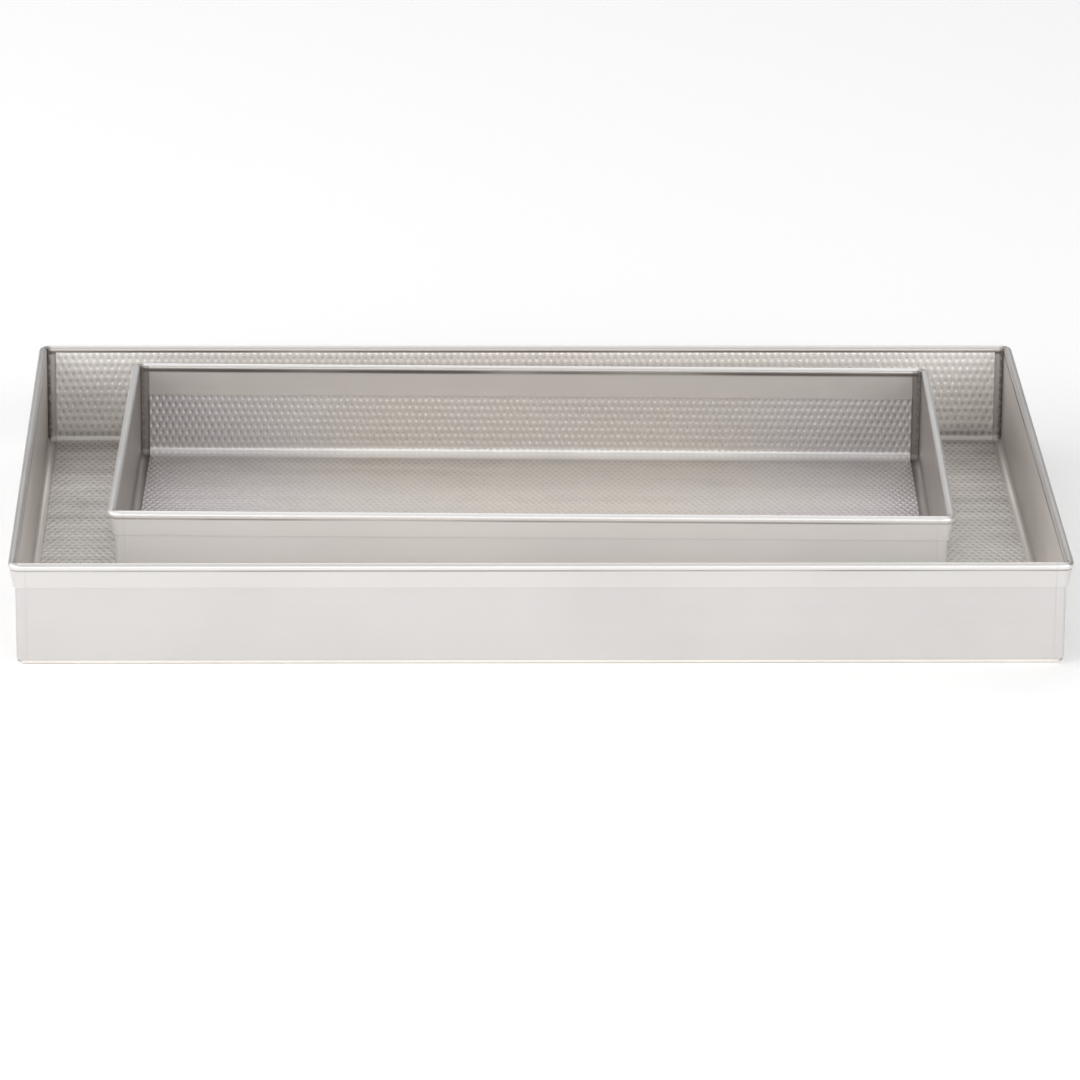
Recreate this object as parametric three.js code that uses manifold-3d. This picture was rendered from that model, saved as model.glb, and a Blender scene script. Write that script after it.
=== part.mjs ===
// A pair of nested bakery trays for baguettes: a small tray standing loose in a large one.
// Each tray is a trough of folded sheet, closed by two pressed ends, with a textured liner in
// the trough and a steel wire in the hem of the rim. Millimetres, +Z up, and the origin is at
// the middle of the face that the large tray stands on. The long sides run along X.
import * as THREE from "three";
import { mergeVertices } from "three/addons/utils/BufferGeometryUtils.js";
import Module from "manifold-3d";

const wasm = await Module();
wasm.setup();

// The large tray, measured over its rim.
const largeLength = 600;
const largeWidth = 400;
const largeHeight = 62;

// How far the small tray's rim stays inside and below the large tray's rim, before the small
// tray is turned a little about its middle. Its own sizes follow from these.
const leftSetback = 55.5;
const rightSetback = 57.5;
const frontSetback = 84.5;
const backSetback = 38.5;
const rimDrop = 0.4;
const smallTurnDegrees = -1.3;

// Sheet, folds and rim, the same on both trays.
const sheetThickness = 0.8;
const linerThickness = 1.2; // over the top of its texture
const floorBendRadius = 5; // outside, between the floor and a wall
const uprightCornerRadius = 2.6; // outside, where two walls meet
const wireDiameter = 2.6;
const hemDepth = 15; // from the top of the rim to the edge of the hem
const hemWrapDegrees = 50; // how far below level the hem follows the wire
const hemNeckRadius = 0.9; // of the fold back between the bead and the leaf
const endReturn = 6; // strip of wall and floor that is pressed in one with each end
const clearance = 0.3; // between pieces that lie against each other

// How far the edge of each liner stays below the top of the rim.
const largeLinerDrop = 3.4;
const smallLinerDrop = 19;

// Steps that round stretches are made in.
const sectionStepDegrees = 18;
const cornerSteps = 4;
const wireSides = 10;

const finishes = {
  sheet: { color: 0xcfccc8, roughness: 0.34, metalness: 1 },
  liner: { color: 0xbdb6ae, roughness: 0.42, metalness: 1 },
  wire: { color: 0x9b9da0, roughness: 0.3, metalness: 1 },
};

const radians = THREE.MathUtils.degToRad;

// A closed geometry as a solid that can be joined and cut. Faces that have shrunk to a line
// or a point are left out.
function toSolid(geometry) {
  const bare = geometry.clone();
  bare.deleteAttribute("normal");
  bare.deleteAttribute("uv");
  const merged = mergeVertices(bare, 1e-4);
  const corners = merged.index.array;
  const kept = [];
  for (let i = 0; i < corners.length; i += 3) {
    const [a, b, c] = corners.slice(i, i + 3);
    if (a !== b && b !== c && c !== a) kept.push(a, b, c);
  }
  return new wasm.Manifold(
    new wasm.Mesh({
      numProp: 3,
      vertProperties: merged.attributes.position.array,
      triVerts: new Uint32Array(kept),
    }),
  );
}

// A solid as a named mesh with its finish.
function toMesh(name, solid, finish) {
  const { vertProperties, triVerts } = solid.getMesh();
  const geometry = new THREE.BufferGeometry();
  geometry.setAttribute("position", new THREE.BufferAttribute(vertProperties, 3));
  geometry.setIndex(new THREE.BufferAttribute(triVerts, 1));
  geometry.computeVertexNormals();
  const mesh = new THREE.Mesh(geometry, new THREE.MeshStandardMaterial(finish));
  mesh.name = name;
  return mesh;
}

// Points along an arc, between two angles in radians, in steps of about the given size.
function arc(centre, radius, from, to, stepDegrees = sectionStepDegrees) {
  const steps = Math.ceil(Math.abs(to - from) / radians(stepDegrees) - 1e-6);
  const curve = new THREE.EllipseCurve(centre.x, centre.y, radius, radius, from, to, to < from);
  return curve.getPoints(steps);
}

// The closed outline of a sheet of even thickness that lies along a middle line.
function sheetOutline(line, thickness) {
  const along = (i) => line[i + 1].clone().sub(line[i]).normalize();
  const sides = line.map((point, i) => {
    const before = along(Math.max(i - 1, 0));
    const after = along(Math.min(i, line.length - 2));
    const middle = before.clone().add(after).normalize();
    const reach = thickness / 2 / middle.dot(before);
    const offset = new THREE.Vector2(-middle.y, middle.x).multiplyScalar(reach);
    return [point.clone().add(offset), point.clone().sub(offset)];
  });
  const left = sides.map(([side]) => side);
  const right = sides.map(([, side]) => side);
  return [...right, ...left.reverse()];
}

// The wall of a tray seen from above: half its length and width and its corner radius, all
// to the middle of the sheet. The hem's bead stands outside it.
const beadRadius = wireDiameter / 2 + clearance + sheetThickness / 2;
const wallCornerRadius = uprightCornerRadius - sheetThickness / 2;

function wallPlan({ length, width }) {
  const overhang = 2 * beadRadius + sheetThickness / 2;
  return { halfLength: length / 2 - overhang, halfWidth: width / 2 - overhang };
}

function beadCentre({ height }) {
  return new THREE.Vector2(beadRadius, height - beadRadius - sheetThickness / 2);
}

// Sweeps a closed section round the plan of a tray's wall. The section's x is the distance
// outside the middle of the wall and its y is the height. Inside the corner radius the
// section meets itself in a mitre, and at half the plan's width it closes on the middle
// line of the tray. The columns of a lathe are pulled out to the four corners of the plan.
function sweepRoundPlan(section, { halfLength, halfWidth }) {
  const columnsPerCorner = cornerSteps + 1;
  const geometry = new THREE.LatheGeometry(section, 4 * columnsPerCorner);
  const position = geometry.attributes.position;
  for (let i = 0; i < position.count; i += 1) {
    const point = section[i % section.length];
    const column = Math.floor(i / section.length);
    const corner = Math.floor(column / columnsPerCorner) % 4;
    const angle = (corner + (column % columnsPerCorner) / cornerSteps) * (Math.PI / 2);
    const radius = wallCornerRadius + point.x;
    const inset = Math.min(radius, 0) - wallCornerRadius;
    const signX = corner === 0 || corner === 3 ? 1 : -1;
    const signY = corner < 2 ? 1 : -1;
    const x = signX * (halfLength + inset) + Math.max(radius, 0) * Math.cos(angle);
    const y = signY * (halfWidth + inset) + Math.max(radius, 0) * Math.sin(angle);
    position.setXYZ(i, x, y, point.y);
  }
  return toSolid(geometry);
}

// The middle line of the sheet, from the middle of the floor, up the wall, over the wire and
// down the leaf of the hem to its free edge, which stays open against the wall.
function shellLine(tray) {
  const { halfWidth } = wallPlan(tray);
  const level = sheetThickness / 2;
  const bend = floorBendRadius - level;
  const bead = beadCentre(tray);
  const wrap = -radians(hemWrapDegrees);
  const neckReach = beadRadius + hemNeckRadius;
  const neck = new THREE.Vector2(Math.cos(wrap), Math.sin(wrap)).multiplyScalar(neckReach).add(bead);
  const edge = new THREE.Vector2(sheetThickness + clearance, tray.height - hemDepth + level);
  const toEdge = edge.clone().sub(neck);
  const leafAngle = toEdge.angle() - Math.acos(hemNeckRadius / toEdge.length());
  return [
    new THREE.Vector2(-halfWidth, level),
    ...arc(new THREE.Vector2(-bend, level + bend), bend, -Math.PI / 2, 0),
    ...arc(bead, beadRadius, Math.PI, wrap),
    ...arc(neck, hemNeckRadius, Math.PI + wrap, leafAngle).slice(1),
    edge,
  ];
}

// The whole folded shell of a tray, before it is parted into the trough and its two ends.
function shell(tray) {
  return sweepRoundPlan(sheetOutline(shellLine(tray), sheetThickness), wallPlan(tray));
}

// Distance from the middle of a tray to the joint between the trough and each end.
function seamDistance(tray) {
  return wallPlan(tray).halfLength + sheetThickness / 2 - endReturn;
}

// A block that holds everything of a tray between two distances along its length.
function slab(tray, from, to) {
  const box = new THREE.BoxGeometry(to - from, 2 * tray.width, 4 * tray.height);
  box.translate((from + to) / 2, 0, 0);
  return toSolid(box);
}

function trough(tray) {
  const half = seamDistance(tray) - clearance / 2;
  return toMesh(`${tray.name}_trough`, shell(tray).intersect(slab(tray, -half, half)), finishes.sheet);
}

function pressedEnd(tray, side, direction) {
  const near = direction * (seamDistance(tray) + clearance / 2);
  const far = direction * tray.length;
  const cut = slab(tray, Math.min(near, far), Math.max(near, far));
  return toMesh(`${tray.name}_${side}_end`, shell(tray).intersect(cut), finishes.sheet);
}

// The textured liner: one sheet over the floor and up both long walls of the trough.
function liner(tray) {
  const { halfWidth } = wallPlan(tray);
  const inset = sheetThickness / 2 + clearance + linerThickness / 2;
  const level = sheetThickness + clearance + linerThickness / 2;
  const bend = floorBendRadius - level;
  const wall = halfWidth - inset;
  const top = tray.height - tray.linerDrop;
  const line = [
    new THREE.Vector2(-wall, top),
    ...arc(new THREE.Vector2(bend - wall, level + bend), bend, Math.PI, 1.5 * Math.PI),
    ...arc(new THREE.Vector2(wall - bend, level + bend), bend, 1.5 * Math.PI, 2 * Math.PI),
    new THREE.Vector2(wall, top),
  ];
  const half = seamDistance(tray) - clearance;
  const profile = new THREE.Shape(sheetOutline(line, linerThickness));
  const geometry = new THREE.ExtrudeGeometry(profile, { depth: 2 * half, bevelEnabled: false });
  geometry.translate(0, 0, -half);
  geometry.rotateX(Math.PI / 2);
  geometry.rotateZ(Math.PI / 2);
  return toMesh(`${tray.name}_textured_liner`, toSolid(geometry), finishes.liner);
}

// The wire that the hem is folded round, in one hoop.
function rimWire(tray) {
  const step = 360 / wireSides;
  const ring = arc(beadCentre(tray), wireDiameter / 2, 0, 2 * Math.PI, step);
  return toMesh(`${tray.name}_rim_wire`, sweepRoundPlan(ring, wallPlan(tray)), finishes.wire);
}

function trayGroup(tray) {
  const group = new THREE.Group();
  group.add(
    trough(tray),
    pressedEnd(tray, "left", -1),
    pressedEnd(tray, "right", 1),
    liner(tray),
    rimWire(tray),
  );
  return group;
}

const largeTray = trayGroup({
  name: "large_tray",
  length: largeLength,
  width: largeWidth,
  height: largeHeight,
  linerDrop: largeLinerDrop,
});

// The small tray stands on the large tray's liner.
const smallTrayLevel = sheetThickness + linerThickness + 2 * clearance;

const smallTray = trayGroup({
  name: "small_tray",
  length: largeLength - leftSetback - rightSetback,
  width: largeWidth - frontSetback - backSetback,
  height: largeHeight - rimDrop - smallTrayLevel,
  linerDrop: smallLinerDrop,
});
smallTray.position.set(
  (leftSetback - rightSetback) / 2,
  (frontSetback - backSetback) / 2,
  smallTrayLevel,
);
smallTray.rotation.z = radians(smallTurnDegrees);

const nestedTrays = new THREE.Group();
nestedTrays.add(largeTray, smallTray);

export default nestedTrays;
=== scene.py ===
"""A small bakery tray standing loose in a large one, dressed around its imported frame.

Each tray is a trough of folded sheet closed by two pressed ends, with a textured liner in the
trough and a steel wire in the hem of the rim. Everything is in metres, +Z up, with the origin
in the middle of the face that the large tray stands on and the long sides along X.
"""

import math

import bmesh
import bpy
from bpy.props import FloatProperty, FloatVectorProperty, IntProperty, PointerProperty
from mathutils import Matrix, Vector


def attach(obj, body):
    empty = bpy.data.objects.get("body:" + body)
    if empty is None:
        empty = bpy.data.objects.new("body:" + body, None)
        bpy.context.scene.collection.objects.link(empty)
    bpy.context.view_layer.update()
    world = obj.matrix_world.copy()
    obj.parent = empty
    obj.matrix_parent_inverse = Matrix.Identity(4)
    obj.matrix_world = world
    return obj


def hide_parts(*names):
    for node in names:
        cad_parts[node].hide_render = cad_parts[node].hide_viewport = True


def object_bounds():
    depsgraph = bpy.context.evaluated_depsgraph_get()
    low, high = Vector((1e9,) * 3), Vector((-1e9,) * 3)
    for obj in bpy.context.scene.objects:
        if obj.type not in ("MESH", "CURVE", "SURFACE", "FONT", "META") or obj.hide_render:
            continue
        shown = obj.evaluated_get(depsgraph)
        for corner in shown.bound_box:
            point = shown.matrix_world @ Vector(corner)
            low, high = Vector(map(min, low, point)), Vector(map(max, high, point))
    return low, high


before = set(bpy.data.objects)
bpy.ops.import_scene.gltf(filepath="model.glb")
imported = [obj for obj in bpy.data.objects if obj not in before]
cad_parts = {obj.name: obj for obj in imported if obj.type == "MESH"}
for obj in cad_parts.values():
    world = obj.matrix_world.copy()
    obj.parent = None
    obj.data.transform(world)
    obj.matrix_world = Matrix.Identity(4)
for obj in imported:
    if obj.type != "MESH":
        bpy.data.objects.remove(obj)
cad_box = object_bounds()

bl_info = {
    "name": "Nested Baguette Trays",
    "version": (1, 0, 0),
    "blender": (4, 5, 0),
    "location": "3D View > Sidebar > Trays",
    "description": "Folds, lines, wires and lights a pair of nested bakery trays",
    "category": "Add Mesh",
}

MM = 0.001
TRAY_NAMES = ("large_tray", "small_tray")
UP = Vector((0, 0, 1))


# ---------------------------------------------------------------------------------- settings


def size_property(name, description, millimetres):
    """A length that the user can change, with its default given in millimetres."""
    return FloatProperty(
        name=name,
        description=description,
        default=millimetres * MM,
        min=0.0,
        precision=5,
        subtype="DISTANCE",
        unit="LENGTH",
    )


def colour_property(name, description, colour):
    return FloatVectorProperty(
        name=name, description=description, default=colour, size=3, min=0, max=1, subtype="COLOR"
    )


def angle_property(name, description, degrees):
    return FloatProperty(
        name=name,
        description=description,
        default=math.radians(degrees),
        subtype="ANGLE",
        unit="ROTATION",
    )


class LargeTraySettings(bpy.types.PropertyGroup):
    turn: angle_property("Turn", "How far the tray is turned about its middle", 0.0)
    dimple_pitch: size_property("Dimple pitch", "Between dimples along a row", 4.4)
    row_pitch: size_property("Row pitch", "Between rows of dimples", 4.9)
    liner_bend: size_property("Liner bend", "Inner radius of the liner's bends", 2.7)
    liner_lengths: IntProperty(
        name="Liner lengths", description="Meshes that the liner is made in", default=3, min=1
    )


class SmallTraySettings(bpy.types.PropertyGroup):
    turn: angle_property("Turn", "How far the tray is turned about its middle", -1.3)
    dimple_pitch: size_property("Dimple pitch", "Between dimples along a row", 4.0)
    row_pitch: size_property("Row pitch", "Between rows of dimples", 4.5)
    liner_bend: size_property("Liner bend", "Inner radius of the liner's bends", 4.6)
    liner_lengths: IntProperty(
        name="Liner lengths", description="Meshes that the liner is made in", default=2, min=1
    )


class SheetSettings(bpy.types.PropertyGroup):
    thickness: size_property("Sheet thickness", "Of the folded sheet", 0.8)
    floor_bend: size_property("Floor bend", "Outer radius between the floor and a wall", 5.0)
    upright_bend: size_property("Upright bend", "Outer radius where two walls meet", 2.6)
    wire_diameter: size_property("Wire diameter", "Of the wire in the hem", 2.6)
    clearance: size_property("Clearance", "Between pieces that lie against each other", 0.3)
    hem_depth: size_property("Hem depth", "From the top of the rim to the edge of the hem", 15.0)
    hem_neck: size_property("Hem neck", "Radius of the fold between the bead and the leaf", 0.9)
    hem_wrap: angle_property("Hem wrap", "How far below level the hem follows the wire", 50.0)
    seam_gap: size_property("Seam gap", "Between the trough and each end", 0.06)


class LinerSettings(bpy.types.PropertyGroup):
    thickness: size_property("Liner thickness", "Over the top of its texture", 1.2)
    land: size_property("Land", "Flat sheet round each dimple, to its neighbour's middle", 1.0)
    slope: size_property("Slope", "Width of a dimple's sloping side", 0.6)
    depth: size_property("Depth", "Of a dimple", 0.4)
    bend_depth: FloatProperty(
        name="Depth in bends",
        description="Share of their depth that dimples keep where the liner is bent",
        default=0.3,
        min=0.0,
        max=1.0,
        subtype="FACTOR",
    )


class FinishSettings(bpy.types.PropertyGroup):
    large_outside: colour_property("Large outside", "Outside of the large tray", (0.645, 0.625, 0.615))
    # Painted light: the small tray's outside is a brighter, less metallic copy of the large tray's, to
    # make up for the shade it stands in inside the large tray.
    small_outside: colour_property("Small outside", "Outside of the small tray", (0.80, 0.785, 0.775))
    inside: colour_property("Inside", "Plain sheet inside the trays", (0.97, 0.92, 0.87))
    # Painted shade: the inside of the small tray's ends is a darker copy of the inside colour.
    small_end_inside: colour_property("Small ends", "Inside of the small ends", (0.44, 0.41, 0.39))
    large_straw: colour_property("Large straw", "Tint of the large liner", (0.94, 0.885, 0.835))
    large_grey: colour_property("Large grey", "The same near its ends", (0.91, 0.88, 0.845))
    small_straw: colour_property("Small straw", "Tint of the small liner", (0.64, 0.60, 0.555))
    small_grey: colour_property("Small grey", "The same near its ends", (0.61, 0.58, 0.58))
    wire: colour_property("Wire", "Galvanised steel", (0.52, 0.53, 0.54))
    floor: colour_property("Floor", "Painted studio floor", (0.93, 0.93, 0.93))
    backdrop: colour_property("Backdrop", "Light from all round", (1.0, 1.0, 1.0))


class StageSettings(bpy.types.PropertyGroup):
    aim: FloatVectorProperty(
        name="Aim",
        description="Point that the camera looks at",
        default=(0.0041, 0.0, 0.0052),
        subtype="XYZ",
        unit="LENGTH",
    )
    distance: size_property("Distance", "From the camera to its aim", 3972.0)
    azimuth: angle_property("Azimuth", "Turn of the camera to the right of +Y", 1.583)
    elevation: angle_property("Elevation", "Of the camera above the floor", 19.6)
    roll: angle_property("Roll", "Tilt of the camera about its own axis", 0.481)
    lens: FloatProperty(
        name="Lens", description="Focal length", default=223.55, min=1.0, unit="CAMERA"
    )


# ------------------------------------------------------------------------------ measurements


def settings():
    return bpy.context.scene.nested_trays


class Tray:
    """One tray of the pair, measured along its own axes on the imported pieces."""

    def __init__(self, name):
        self.name = name
        self.choices = getattr(settings(), name)
        sheet = settings().sheet
        ends = self.measured("left_end"), self.measured("right_end")
        trough = self.measured("trough")
        self.low = Vector((ends[0][0].x, trough[0].y, trough[0].z))
        self.high = Vector((ends[1][1].x, trough[1].y, trough[1].z))
        self.middle = (self.low + self.high) / 2
        self.middle.z = self.low.z
        self.height = self.high.z - self.low.z
        self.bead_radius = sheet.wire_diameter / 2 + sheet.clearance + sheet.thickness / 2
        overhang = 2 * self.bead_radius + sheet.thickness / 2
        self.half_length = (self.high.x - self.low.x) / 2 - overhang
        self.half_width = (self.high.y - self.low.y) / 2 - overhang
        self.upright_radius = sheet.upright_bend - sheet.thickness / 2
        self.seam = (trough[1].x + ends[1][0].x) / 2 - self.middle.x
        liner = self.measured("textured_liner")
        self.liner_half_length = liner[1].x - self.middle.x
        self.liner_low = liner[0].z - self.low.z
        self.liner_top = liner[1].z - self.low.z
        self.liner_outer = liner[1].y - self.middle.y

    def measured(self, part):
        """Lowest and highest corner of one of the tray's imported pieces, on the tray's axes."""
        square = Matrix.Rotation(-self.choices.turn, 3, "Z")
        corners = [square @ v.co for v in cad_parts[f"{self.name}_{part}"].data.vertices]
        return Vector(map(min, zip(*corners))), Vector(map(max, zip(*corners)))

    def surrounds(self, x, y):
        """Whether a point is inside the middle of the sheet of the walls, seen from above."""
        past_x = max(abs(x) - self.half_length + self.upright_radius, 0)
        past_y = max(abs(y) - self.half_width + self.upright_radius, 0)
        return math.hypot(past_x, past_y) < self.upright_radius

    def place(self):
        """From the tray's own axes, with their origin under its middle, to the frame's."""
        return Matrix.Rotation(self.choices.turn, 4, "Z") @ Matrix.Translation(self.middle)


# ---------------------------------------------------------------------------------- modelling


def everything(mesh):
    return mesh.verts[:] + mesh.edges[:] + mesh.faces[:]


def trimmed(mesh, point, outwards):
    """Cuts away what lies beyond a plane."""
    bmesh.ops.bisect_plane(
        mesh, geom=everything(mesh), plane_co=point, plane_no=outwards, clear_outer=True
    )


def finished(mesh, tray, part, finishes, sharp_degrees):
    """Moves a mesh to its tray's place in the frame and makes it a piece that rides on the tray."""
    for face in mesh.faces:
        face.smooth = True
    for edge in mesh.edges:
        edge.smooth = edge.is_manifold and edge.calc_face_angle() < math.radians(sharp_degrees)
    mesh.transform(tray.place())
    data = bpy.data.meshes.new(f"{tray.name}_{part}")
    mesh.to_mesh(data)
    mesh.free()
    for finish in finishes:
        data.materials.append(finish)
    piece = bpy.data.objects.new(data.name, data)
    bpy.context.collection.objects.link(piece)
    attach(piece, tray.name)
    return piece


# The folded shell: one line, from the middle of the floor to the edge of the hem, is swung
# round an upright axis and its columns are then pulled out to the tray's four corners.

ARC_STEP = math.radians(9)
CORNER_STEPS = 6


def straight(mesh, tip, x, z):
    """Carries a line straight on from its tip and returns the new tip."""
    grown = bmesh.ops.extrude_vert_indiv(mesh, verts=[tip])["verts"][0]
    grown.co = (x, 0, z)
    return grown


def curved(mesh, tip, x, z, angle):
    """Carries a line on from its tip along an arc about a centre and returns the new tip."""
    last = bmesh.ops.spin(
        mesh,
        geom=[tip],
        cent=(x, 0, z),
        axis=(0, -1, 0),
        angle=angle,
        steps=math.ceil(abs(angle) / ARC_STEP),
    )["geom_last"]
    return next(part for part in last if isinstance(part, bmesh.types.BMVert))


def face_line(mesh, tray, swing):
    """Draws the inner face of the floor and wall and the outer face of the bead and leaf."""
    sheet = settings().sheet
    half_sheet = sheet.thickness / 2
    bend = sheet.floor_bend - half_sheet
    bead = Vector((swing + tray.bead_radius, tray.height - tray.bead_radius - half_sheet))
    wrapped = Vector((math.cos(sheet.hem_wrap), -math.sin(sheet.hem_wrap)))
    neck = bead + wrapped * (tray.bead_radius + sheet.hem_neck)
    leaf_edge = Vector((swing + sheet.thickness + sheet.clearance, tray.height - sheet.hem_depth))
    leaf = leaf_edge - neck
    leaf_angle = math.atan2(leaf.y, leaf.x) % math.tau - math.acos(sheet.hem_neck / leaf.length)
    leaf_edge -= Vector((math.cos(leaf_angle), math.sin(leaf_angle))) * half_sheet
    tip = mesh.verts.new((swing - tray.half_width, 0, sheet.thickness))
    tip = straight(mesh, tip, swing - bend, sheet.thickness)
    tip = curved(mesh, tip, swing - bend, half_sheet + bend, math.pi / 2)
    tip = straight(mesh, tip, swing - half_sheet, bead.y)
    tip = curved(mesh, tip, bead.x, bead.y, -math.pi - sheet.hem_wrap)
    tip = curved(mesh, tip, neck.x, neck.y, leaf_angle - (math.pi - sheet.hem_wrap))
    straight(mesh, tip, leaf_edge.x, leaf_edge.y)


def shell_surface(tray):
    """The open face of a whole tray, before it is parted and given its thickness."""
    sheet = settings().sheet
    mesh = bmesh.new()
    swing = 2 * tray.half_width
    face_line(mesh, tray, swing)
    columns = 4 * (CORNER_STEPS + 1)
    bmesh.ops.spin(
        mesh,
        geom=everything(mesh),
        cent=(0, 0, 0),
        axis=UP,
        angle=math.tau,
        steps=columns,
        use_merge=True,
    )
    for vertex in mesh.verts:
        column = round(math.atan2(vertex.co.y, vertex.co.x) / math.tau * columns) % columns
        corner, step = divmod(column, CORNER_STEPS + 1)
        angle = (corner + step / CORNER_STEPS) * math.pi / 2
        radius = tray.upright_radius + vertex.co.xy.length - swing
        inset = min(radius, 0) - tray.upright_radius
        side = Vector((1 if corner in (0, 3) else -1, 1 if corner < 2 else -1))
        vertex.co.x = side.x * (tray.half_length + inset) + max(radius, 0) * math.cos(angle)
        vertex.co.y = side.y * (tray.half_width + inset) + max(radius, 0) * math.sin(angle)
    bmesh.ops.remove_doubles(mesh, verts=mesh.verts, dist=sheet.thickness / 100)
    bmesh.ops.recalc_face_normals(mesh, faces=mesh.faces)
    floor = min(mesh.faces, key=lambda face: face.calc_center_median().length)
    if floor.normal.z < 0:
        bmesh.ops.reverse_faces(mesh, faces=mesh.faces)
    return mesh


def shell_piece(tray, surface, part, cuts, finishes):
    """One piece of the shell: what is left of its surface inside the cuts, made thick."""
    mesh = surface.copy()
    for distance, outwards in cuts:
        trimmed(mesh, (distance, 0, 0), (outwards, 0, 0))
    bmesh.ops.solidify(mesh, geom=mesh.faces, thickness=settings().sheet.thickness)
    bmesh.ops.recalc_face_normals(mesh, faces=mesh.faces)
    for face in mesh.faces:
        x, y, z = face.calc_center_median()
        above_floor = z > settings().sheet.thickness / 2
        face.material_index = above_floor and tray.surrounds(x, y)
    piece = finished(mesh, tray, f"folded_{part}", finishes, 40)
    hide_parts(f"{tray.name}_{part}")


# The liner: a honeycomb of dimples is laid out flat, trimmed, closed underneath and then bent
# up into the trough. Flat, x is along the tray, y across it and z the height over the lands.

BEND_STEPS = 6
# Marks for the liner's finish: dimple depth, the bends, which get a painted highlight, and the foot of
# the walls, which gets painted shade.
LINER_MARKS = ("pressed", "rubbed", "residue")


def dimple(mesh, tray):
    """One cell of the texture: flat land, sloping side and flat bottom."""
    choices = tray.choices
    liner = settings().liner
    bmesh.ops.create_circle(mesh, segments=6, radius=1, cap_ends=True)
    across = max(v.co.x for v in mesh.verts)
    size = (choices.dimple_pitch / 2 / across, choices.row_pitch * 2 / 3, 1)
    bmesh.ops.scale(mesh, vec=size, verts=mesh.verts)
    if mesh.faces[:][0].normal.z < 0:
        bmesh.ops.reverse_faces(mesh, faces=mesh.faces)
    bottom = mesh.faces[:]
    bmesh.ops.inset_individual(mesh, faces=bottom, thickness=liner.land, use_even_offset=True)
    bmesh.ops.inset_individual(
        mesh, faces=bottom, thickness=liner.slope, depth=-liner.depth, use_even_offset=True
    )


def repeated(mesh, step, count):
    """Copies all of a mesh until it stands count times, a step apart."""
    bmesh.ops.spin(
        mesh,
        geom=everything(mesh),
        cent=(0, 0, 0),
        axis=UP,
        dvec=step,
        angle=0,
        steps=count - 1,
        use_duplicate=True,
    )


class LinerShape:
    """Measures of a tray's liner, flat and bent."""

    def __init__(self, tray):
        thickness = settings().liner.thickness
        self.bend = tray.choices.liner_bend
        self.flat = tray.liner_outer - thickness - self.bend
        self.arc = self.bend * math.pi / 2
        self.level = tray.liner_low + thickness
        self.half_width = self.flat + self.arc + tray.liner_top - self.level - self.bend

    def bent(self, flat_place):
        """Where a point of the flat liner is once the liner is bent."""
        x, y, z = flat_place
        past = abs(y) - self.flat
        if past <= 0:
            return Vector((x, y, self.level + z))
        turn = min(past / self.bend, math.pi / 2)
        out = self.flat + (self.bend - z) * math.sin(turn)
        up = self.level + self.bend - (self.bend - z) * math.cos(turn)
        return Vector((x, math.copysign(out, y), up + max(past - self.arc, 0)))

    def clear_of_bend(self, y):
        """0 where the liner is bent and 1 from a little beside it."""
        beside = abs(abs(y) - self.flat - self.arc / 2) - self.arc / 2
        return min(max(beside / (2 * MM), 0), 1)

    def by_foot(self, y):
        """1 on the floor at the foot of a wall, falling to 0 further in."""
        inwards = self.flat - abs(y)
        return 0 if inwards < 0 else max(1 - inwards / (45 * MM), 0) ** 2

    def depth_kept(self, y):
        """Share of its depth that a dimple keeps at this distance across the flat liner."""
        least = settings().liner.bend_depth
        return least + (1 - least) * self.clear_of_bend(y)


def liner_piece(tray, number, finish):
    """One length of a liner, which meets the next along whole dimples."""
    choices = tray.choices
    shape = LinerShape(tray)
    half_length = tray.liner_half_length
    lengths = choices.liner_lengths
    columns = math.ceil((2 * half_length / choices.dimple_pitch + 1) / lengths)
    pairs = math.ceil(shape.half_width / choices.row_pitch) + 1
    mesh = bmesh.new()
    dimple(mesh, tray)
    repeated(mesh, (choices.dimple_pitch, 0, 0), columns)
    repeated(mesh, (choices.dimple_pitch / 2, choices.row_pitch, 0), 2)
    repeated(mesh, (0, 2 * choices.row_pitch, 0), pairs)
    bmesh.ops.remove_doubles(mesh, verts=mesh.verts, dist=choices.dimple_pitch / 1000)
    start = (number - lengths / 2) * columns * choices.dimple_pitch
    bmesh.ops.translate(mesh, verts=mesh.verts, vec=(start, -pairs * choices.row_pitch, 0))
    if number == 0:
        trimmed(mesh, (-half_length, 0, 0), (-1, 0, 0))
    if number == lengths - 1:
        trimmed(mesh, (half_length, 0, 0), (1, 0, 0))
    trimmed(mesh, (0, -shape.half_width, 0), (0, -1, 0))
    trimmed(mesh, (0, shape.half_width, 0), (0, 1, 0))
    # The dimple depth, the bends, which get a painted highlight, and the foot of the walls, which gets
    # painted shade.
    pressed, rubbed, residue = (mesh.verts.layers.float.new(mark) for mark in LINER_MARKS)
    for vertex in mesh.verts:
        vertex[pressed] = -vertex.co.z / settings().liner.depth
        vertex[rubbed] = 1 - shape.clear_of_bend(vertex.co.y)
        vertex[residue] = shape.by_foot(vertex.co.y)
        vertex.co.z *= shape.depth_kept(vertex.co.y)
    close_underneath(mesh)
    for side in (-1, 1):
        for step in range(BEND_STEPS + 1):
            line = (0, side * (shape.flat + shape.arc * step / BEND_STEPS), 0)
            bmesh.ops.bisect_plane(
                mesh, geom=everything(mesh), plane_co=line, plane_no=(0, 1, 0)
            )
    for vertex in mesh.verts:
        vertex.co = shape.bent(vertex.co)
    bmesh.ops.recalc_face_normals(mesh, faces=mesh.faces)
    piece = finished(mesh, tray, f"liner_length_{number + 1}", [finish], 50)
    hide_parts(f"{tray.name}_textured_liner")


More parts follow.
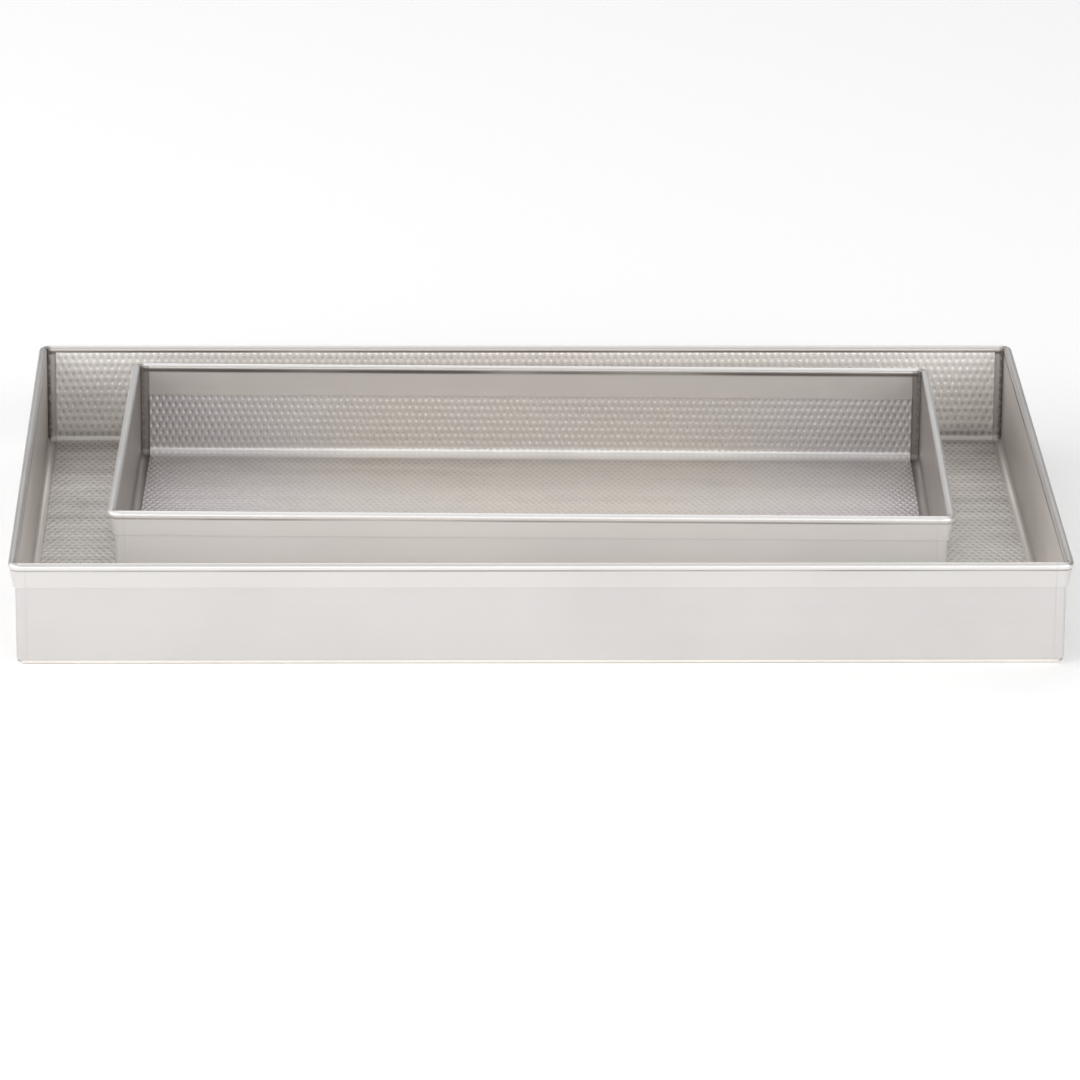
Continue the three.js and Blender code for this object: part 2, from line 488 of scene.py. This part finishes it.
def close_underneath(mesh):
    """Gives a flat liner its cut edges and its plain underside."""
    rim = [edge for edge in mesh.edges if edge.is_boundary]
    grown = bmesh.ops.extrude_edge_only(mesh, edges=rim)["geom"]
    for vertex in (part for part in grown if isinstance(part, bmesh.types.BMVert)):
        vertex.co.z = -settings().liner.thickness
    lower_rim = [edge for edge in mesh.edges if edge.is_boundary]
    bmesh.ops.edgeloop_fill(mesh, edges=lower_rim)


# ---------------------------------------------------------------------------------- materials

# Painted highlight: a light colour mixed onto the bead and leaf of the trays and onto the liner's
# bends.
PAINTED_HIGHLIGHT = (0.95, 0.93, 0.91)
# Painted shade: a dark colour mixed into the upright corners, the line under the rim and the back of
# the insides.
SHADE_COLOUR = (0.16, 0.14, 0.13)
# Stains and painted shade: a dark colour mixed into the liner's random stains and, as painted shade,
# into its dimple bottoms, the foot of its walls and the back of its floor.
DUST_AND_SHADE = (0.34, 0.31, 0.29)
DULLED = 0.86  # level of handled sheet, as a share of clean sheet
FLOOR_GLOW = 0.13
INSIDE_METAL = 0.7
# The small tray's lower metallic share is part of its brightened outside, which is painted light.
OUTSIDE_METAL = {"large_tray": 0.7, "small_tray": 0.55}
LINER_METAL = {"large_tray": 0.45, "small_tray": 0.75}

# How much painted shade darkens a liner: at the back of the floor, and at the foot of a wall.
DARKENED_BACK = {"large_tray": 0.68, "small_tray": 0.0}
DARKENED_FOOT = {"large_tray": 0.05, "small_tray": 0.38}


class Output:
    """An output of a shader node, which takes part in sums like a number."""

    def __init__(self, finish, socket):
        self.finish = finish
        self.socket = socket

    def maths(self, operation, *values):
        inputs = dict(enumerate(values))
        return self.finish.node("ShaderNodeMath", {"operation": operation}, inputs)

    def __add__(self, other):
        return self.maths("ADD", self, other)

    def __radd__(self, other):
        return self.maths("ADD", other, self)

    def __sub__(self, other):
        return self.maths("SUBTRACT", self, other)

    def __rsub__(self, other):
        return self.maths("SUBTRACT", other, self)

    def __mul__(self, other):
        return self.maths("MULTIPLY", self, other)

    def __rmul__(self, other):
        return self.maths("MULTIPLY", other, self)


class Finish:
    """A material under construction."""

    def __init__(self, name, **plain):
        self.material = bpy.data.materials.new(name)
        self.material.use_nodes = True
        self.tree = self.material.node_tree
        self.shader = self.tree.nodes["Principled BSDF"]
        self.fill(self.shader, plain)
        self.place = self.node("ShaderNodeTexCoord", {}, {}, "Object")

    def stand_on(self, tray):
        """Measures places along the tray's own axes from here on."""
        values = {0: self.place, 1: -tray.middle, 2: (0, 0, -tray.choices.turn)}
        self.place = self.node("ShaderNodeMapping", {}, values)

    def axis(self, number):
        """The distance along one axis, 0 for x to 2 for z."""
        return self.node("ShaderNodeSeparateXYZ", {}, {0: self.place}, number)

    def fill(self, node, values):
        """Sets or links a node's inputs, which are named or numbered."""
        for key, value in values.items():
            if isinstance(value, Output):
                self.tree.links.new(value.socket, node.inputs[key])
            else:
                node.inputs[key].default_value = value

    def node(self, kind, choices, values, output=0):
        """Adds a node, makes its choices, fills its inputs and gives one of its outputs."""
        node = self.tree.nodes.new(kind)
        for key, value in choices.items():
            setattr(node, key, value)
        self.fill(node, values)
        return Output(self, node.outputs[output])

    def cloud(self, scale, detail=3.0, stretch=(1, 1, 1), shift=(0, 0, 0)):
        """Soft noise with a number of features to the metre, squeezed by stretch."""
        at = self.node("ShaderNodeMapping", {}, {0: self.place, 1: shift, 3: stretch})
        return self.node("ShaderNodeTexNoise", {}, {0: at, "Scale": scale, "Detail": detail})

    def between(self, value, low, high):
        """Spreads the part of a value between low and high over 0 to 1."""
        return self.node("ShaderNodeMapRange", {}, {0: value, 1: low, 2: high})

    def mixed(self, share, first, second):
        """A colour that goes from the first to the second."""
        values = {0: share, 6: opaque(first), 7: opaque(second)}
        return self.node("ShaderNodeMix", {"data_type": "RGBA"}, values, 2)

    def surface(self, colour, roughness, height, depth):
        """Links what varies over the surface to the shader, with the height as bump."""
        bump = self.node("ShaderNodeBump", {}, {"Height": height, "Distance": depth})
        self.fill(self.shader, {"Base Color": colour, "Roughness": roughness, "Normal": bump})
        return self.material


def opaque(colour):
    return colour if isinstance(colour, Output) else (*colour, 1)


def corner_shade(finish, tray):
    """Painted shade in the four upright corners, with a ragged edge, and round the cut ends of the hem
    above them.
    """
    reach = 3.4 * MM
    along = finish.axis(0)
    across = finish.axis(1)
    along_gap = along.maths("ABSOLUTE", along) - tray.half_length
    across_gap = across.maths("ABSOLUTE", across) - tray.half_width
    gap = finish.node(
        "ShaderNodeVectorMath",
        {"operation": "LENGTH"},
        {0: finish.node("ShaderNodeCombineXYZ", {}, {0: along_gap, 1: across_gap})},
        "Value",
    )
    ragged = gap + (finish.cloud(420, 3) - 0.5) * (3 * MM)
    return finish.between(ragged, reach, 0.3 * reach)


def rim_shade(finish, tray, depth, reach):
    """A thin line of painted shade round the tray under its rim, fainter in places."""
    height = finish.axis(2)
    from_line = height.maths("ABSOLUTE", height - (tray.height - depth))
    faint = finish.between(finish.cloud(1, 1, (9, 9, 0), (4, 0, 0)), 0.3, 0.6)
    return finish.between(from_line, reach, 0.2 * reach) * (faint * 0.7 + 0.3)


def sheet_finish(name, tray, bright, rolling, outside):
    """Rolled sheet, smoother on the bead, with a painted highlight on the bead and the outside of the
    leaf. The roller's marks run along X or along Y.
    """
    finish = Finish(name, Metallic=OUTSIDE_METAL[tray.name] if outside else INSIDE_METAL)
    finish.stand_on(tray)
    dull = [level * DULLED for level in bright]
    height = finish.axis(2)
    bead = finish.between(height, tray.height - 5.5 * MM, tray.height - 4.5 * MM)
    # Painted shade in the upright corners; outside, only at the top of the rim.
    shaded_corners = corner_shade(finish, tray)
    if outside:
        leaf = finish.between(height, tray.height - 15.5 * MM, tray.height - 14.5 * MM)
        shaded_corners = shaded_corners * finish.between(height, tray.height - 2.5 * MM, tray.height - 1 * MM)
        # Painted shade: a line under the bead.
        painted_shade = rim_shade(finish, tray, 4.3 * MM, 0.9 * MM) * 0.7
    else:
        leaf = 0
        backwards = finish.between(finish.axis(1), -tray.half_width, tray.half_width)
        # Painted shade: a line under the rim, and the inside darker towards the back.
        painted_shade = rim_shade(finish, tray, 3.6 * MM, 1.6 * MM) * 0.8 + backwards * 0.42
    along = (5, 700, 700) if rolling == "X" else (700, 5, 700)
    broad = (2, 90, 90) if rolling == "X" else (90, 2, 90)
    handled = finish.between(finish.cloud(7, 3), 0.42, 0.66)
    streaks = finish.cloud(1, 2, along)
    bands = finish.cloud(1, 2, broad, (3, 1, 2))
    waves = finish.cloud(16, 1)
    smears = finish.between(finish.cloud(60, 4, shift=(5, 2, 0)), 0.5, 0.72)
    sheet = finish.mixed(handled * 0.5 + bands * (0.35 if outside else 0.7), bright, dull)
    # Painted highlight on the bead and the leaf.
    rubbed = finish.mixed(bead * 0.2 + leaf * 0.2, sheet, PAINTED_HIGHLIGHT)
    # Painted shade in the corners, under the rim and inside towards the back.
    colour = finish.mixed(shaded_corners * 0.7 + painted_shade, rubbed, SHADE_COLOUR)
    roughness = 0.36 + handled * 0.06 + streaks * 0.1 + smears * 0.05 - bead * 0.1 + shaded_corners * 0.2
    height = waves * 0.0004 + streaks * 0.000009 + bands * 0.00004
    return finish.surface(colour, roughness, height, 1.0)


def sheet_finishes(tray):
    """The outside and inside finish of the trough, and those of the two ends."""
    colours = settings().finish
    outside = {"large_tray": colours.large_outside, "small_tray": colours.small_outside}
    end_inside = {"large_tray": colours.inside, "small_tray": colours.small_end_inside}
    insides = {"X": colours.inside, "Y": end_inside[tray.name]}
    return [
        [
            sheet_finish(f"{tray.name}_outside_{rolling}", tray, outside[tray.name], rolling, True),
            sheet_finish(f"{tray.name}_inside_{rolling}", tray, insides[rolling], rolling, False),
        ]
        for rolling in ("X", "Y")
    ]


def liner_finish(name, tray, straw, grey):
    """Sheet that baking has tinted straw in the middle and stained in places, with painted shade in
    its dimples, at the foot of its walls and at the back of its floor, and a painted highlight in its
    bends.
    """
    finish = Finish(name, Metallic=LINER_METAL[tray.name])
    finish.stand_on(tray)
    half_length = tray.liner_half_length
    along = finish.axis(0)
    outwards = finish.between(along.maths("ABSOLUTE", along), 0.35 * half_length, half_length)
    drift = finish.cloud(11, 3)
    tint = finish.between(outwards * 0.7 + drift, 0.45, 1.0)
    pressed, rubbed, residue = (
        finish.node("ShaderNodeAttribute", {"attribute_name": mark}, {}, "Fac")
        for mark in LINER_MARKS
    )
    grain = finish.cloud(1, 2, (5, 600, 600))
    patina = finish.between(finish.cloud(38, 4, shift=(2, 7, 0)), 0.45, 0.7)
    # Painted shade: the floor darker towards the back.
    backwards = finish.between(finish.axis(1), -tray.half_width, tray.half_width)
    backwards = backwards * finish.between(finish.axis(2), 12 * MM, 4 * MM)
    wiped = finish.between(finish.cloud(1, 3, (4, 70, 30), (0, 3, 1)), 0.38, 0.7)
    worn = patina * 0.12 + wiped * 0.3 - 0.17
    # Painted shade at the foot of the walls and at the back of the floor.
    floor_shade = residue * DARKENED_FOOT[tray.name] + backwards * DARKENED_BACK[tray.name]
    # Painted shade in the dimple bottoms, random stains, and the painted shade above.
    dust_and_shade = pressed * 0.3 + worn + floor_shade
    sheet = finish.mixed(tint, straw, grey)
    dusty_and_shaded = finish.mixed(dust_and_shade, sheet, DUST_AND_SHADE)
    # Painted highlight in the bends.
    colour = finish.mixed(rubbed * (0.6 - tint * 0.3), dusty_and_shaded, PAINTED_HIGHLIGHT)
    roughness = 0.37 + patina * 0.08 + pressed * 0.08 + grain * 0.06 - rubbed * 0.1
    height = finish.cloud(16, 1) * 0.0003 + grain * 0.000008
    return finish.surface(colour, roughness, height, 1.0)


def wire_finish(name):
    """Galvanised steel wire, with spangle and drawing marks."""
    colours = settings().finish
    finish = Finish(name, Metallic=1.0)
    spangle = finish.node("ShaderNodeTexVoronoi", {}, {0: finish.place, "Scale": 900.0}, 0)
    drawn = finish.cloud(300, 2)
    colour = finish.mixed(finish.between(spangle, 0.1, 0.7), colours.wire, (0.38, 0.39, 0.4))
    return finish.surface(colour, 0.3 + drawn * 0.2, drawn * 0.00002, 1.0)


def floor_finish(name):
    """Matt white paint that gives off a little light, barely clouded."""
    finish = Finish(name, Metallic=0.0)
    glow = {"Emission Color": (1, 1, 1, 1), "Emission Strength": FLOOR_GLOW}
    finish.fill(finish.shader, {"Specular IOR Level": 0.1, **glow})
    white = settings().finish.floor
    colour = finish.mixed(finish.cloud(3, 2) * 0.1, white, (0.88, 0.88, 0.88))
    return finish.surface(colour, 0.9 + finish.cloud(5, 2) * 0.08, finish.cloud(90, 2), 0.0001)


# ------------------------------------------------------------------------------------- stage


def area_light(name, place, size, watts):
    """A soft rectangular lamp that faces the trays."""
    lamp = bpy.data.lights.new(name, "AREA")
    lamp.shape = "RECTANGLE"
    lamp.size, lamp.size_y = size
    lamp.energy = watts
    holder = bpy.data.objects.new(name, lamp)
    holder.location = place
    holder.rotation_euler = (-Vector(place)).to_track_quat("-Z", "Y").to_euler()
    bpy.context.collection.objects.link(holder)


def studio_floor():
    """A square sheet of floor a hair's breadth under the trays."""
    mesh = bmesh.new()
    bmesh.ops.create_grid(mesh, x_segments=8, y_segments=8, size=8)
    bmesh.ops.translate(mesh, verts=mesh.verts, vec=(0, 0, cad_box[0][2] - 0.02 * MM))
    data = bpy.data.meshes.new("studio_floor")
    mesh.to_mesh(data)
    mesh.free()
    data.materials.append(floor_finish("studio_paint"))
    floor = bpy.data.objects.new("studio_floor", data)
    bpy.context.collection.objects.link(floor)


def studio_camera():
    """The camera, swung round its aim by its azimuth and elevation."""
    stage = settings().stage
    data = bpy.data.cameras.new("studio_camera")
    data.lens = stage.lens
    data.sensor_width = 36
    data.clip_end = 50
    camera = bpy.data.objects.new("studio_camera", data)
    facing = Matrix.Rotation(-stage.azimuth, 4, "Z")
    facing @= Matrix.Rotation(math.pi / 2 - stage.elevation, 4, "X")
    facing @= Matrix.Rotation(stage.roll, 4, "Z")
    camera.matrix_world = Matrix.Translation(stage.aim) @ facing @ Matrix.Translation(
        (0, 0, stage.distance)
    )
    bpy.context.collection.objects.link(camera)
    bpy.context.scene.camera = camera


# Name, place, size and watts of each lamp.
LAMPS = (
    ("top_lamp", (0, 0, 3.0), (5.0, 4.0), 45),
    ("high_back_lamp", (0, 3.0, 3.0), (5.0, 2.0), 50),
    ("low_back_lamp", (0, 4.0, 1.2), (7.0, 2.0), 5),
    ("high_front_lamp", (0, -3.5, 3.2), (5.0, 2.0), 15),
    ("low_front_lamp", (0, -4.2, 1.2), (7.0, 2.0), 70),
    ("left_lamp", (-3.5, 0, 1.8), (5.0, 3.0), 75),
    ("front_left_lamp", (-3.0, -3.0, 1.6), (3.0, 2.5), 65),
    ("front_right_lamp", (3.0, -3.0, 1.6), (3.0, 2.5), 85),
)
BACKDROP_STRENGTH = 0.02


def studio_world():
    """A faint even light from all round."""
    world = bpy.data.worlds.new("studio_light")
    world.use_nodes = True
    background = world.node_tree.nodes["Background"]
    background.inputs["Color"].default_value = opaque(settings().finish.backdrop)
    background.inputs["Strength"].default_value = BACKDROP_STRENGTH
    bpy.context.scene.world = world


# --------------------------------------------------------------------------------- operators


class TRAYS_OT_fold_sheets(bpy.types.Operator):
    """Folds the trough and presses the two ends of each tray"""

    bl_idname = "trays.fold_sheets"
    bl_label = "Fold Sheets"
    bl_options = {"REGISTER", "UNDO"}

    def execute(self, context):
        for name in TRAY_NAMES:
            tray = Tray(name)
            lengthwise, crosswise = sheet_finishes(tray)
            surface = shell_surface(tray)
            half_gap = settings().sheet.seam_gap / 2
            inner, outer = tray.seam - half_gap, tray.seam + half_gap
            shell_piece(tray, surface, "trough", [(inner, 1), (-inner, -1)], lengthwise)
            shell_piece(tray, surface, "left_end", [(-outer, 1)], crosswise)
            shell_piece(tray, surface, "right_end", [(outer, -1)], crosswise)
            surface.free()
        return {"FINISHED"}


class TRAYS_OT_press_liners(bpy.types.Operator):
    """Presses, trims and bends the textured liner of each tray"""

    bl_idname = "trays.press_liners"
    bl_label = "Press Liners"
    bl_options = {"REGISTER", "UNDO"}

    def execute(self, context):
        colours = settings().finish
        tints = {
            "large_tray": (colours.large_straw, colours.large_grey),
            "small_tray": (colours.small_straw, colours.small_grey),
        }
        for name in TRAY_NAMES:
            tray = Tray(name)
            finish = liner_finish(f"{name}_baked_sheet", tray, *tints[name])
            for number in range(tray.choices.liner_lengths):
                liner_piece(tray, number, finish)
        return {"FINISHED"}


class TRAYS_OT_finish_wires(bpy.types.Operator):
    """Gives the wires in the hems their finish"""

    bl_idname = "trays.finish_wires"
    bl_label = "Finish Wires"
    bl_options = {"REGISTER", "UNDO"}

    def execute(self, context):
        finish = wire_finish("galvanised_wire")
        for name in TRAY_NAMES:
            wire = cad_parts[f"{name}_rim_wire"]
            wire.data.materials.clear()
            wire.data.materials.append(finish)
        return {"FINISHED"}


class TRAYS_OT_build_stage(bpy.types.Operator):
    """Adds the floor, the lamps, the light from all round and the camera"""

    bl_idname = "trays.build_stage"
    bl_label = "Build Stage"
    bl_options = {"REGISTER", "UNDO"}

    def execute(self, context):
        context.scene.view_settings.view_transform = "Standard"
        studio_floor()
        studio_world()
        for lamp in LAMPS:
            area_light(*lamp)
        studio_camera()
        return {"FINISHED"}


class TRAYS_PT_sidebar(bpy.types.Panel):
    """The makers of the trays and of their stage"""

    bl_idname = "TRAYS_PT_sidebar"
    bl_label = "Nested Trays"
    bl_space_type = "VIEW_3D"
    bl_region_type = "UI"
    bl_category = "Trays"

    def draw(self, context):
        for operator in OPERATORS:
            self.layout.operator(operator.bl_idname)
        for group in SettingGroups.__annotations__:
            box = self.layout.box()
            box.label(text=group.replace("_", " ").capitalize())
            choices = getattr(context.scene.nested_trays, group)
            for name in choices.__annotations__:
                box.prop(choices, name)


class SettingGroups(bpy.types.PropertyGroup):
    """Every group of settings, kept together on the scene."""

    large_tray: PointerProperty(type=LargeTraySettings)
    small_tray: PointerProperty(type=SmallTraySettings)
    sheet: PointerProperty(type=SheetSettings)
    liner: PointerProperty(type=LinerSettings)
    finish: PointerProperty(type=FinishSettings)
    stage: PointerProperty(type=StageSettings)


GROUPS = (
    LargeTraySettings,
    SmallTraySettings,
    SheetSettings,
    LinerSettings,
    FinishSettings,
    StageSettings,
    SettingGroups,
)
OPERATORS = (
    TRAYS_OT_fold_sheets,
    TRAYS_OT_press_liners,
    TRAYS_OT_finish_wires,
    TRAYS_OT_build_stage,
)


def register():
    for item in (*GROUPS, *OPERATORS, TRAYS_PT_sidebar):
        bpy.utils.register_class(item)
    bpy.types.Scene.nested_trays = PointerProperty(type=SettingGroups)


def unregister():
    del bpy.types.Scene.nested_trays
    for item in reversed((*GROUPS, *OPERATORS, TRAYS_PT_sidebar)):
        bpy.utils.unregister_class(item)


def main():
    register()
    bpy.ops.trays.fold_sheets()
    bpy.ops.trays.press_liners()
    bpy.ops.trays.finish_wires()
    bpy.ops.trays.build_stage()


if __name__ == "__main__":
    main()
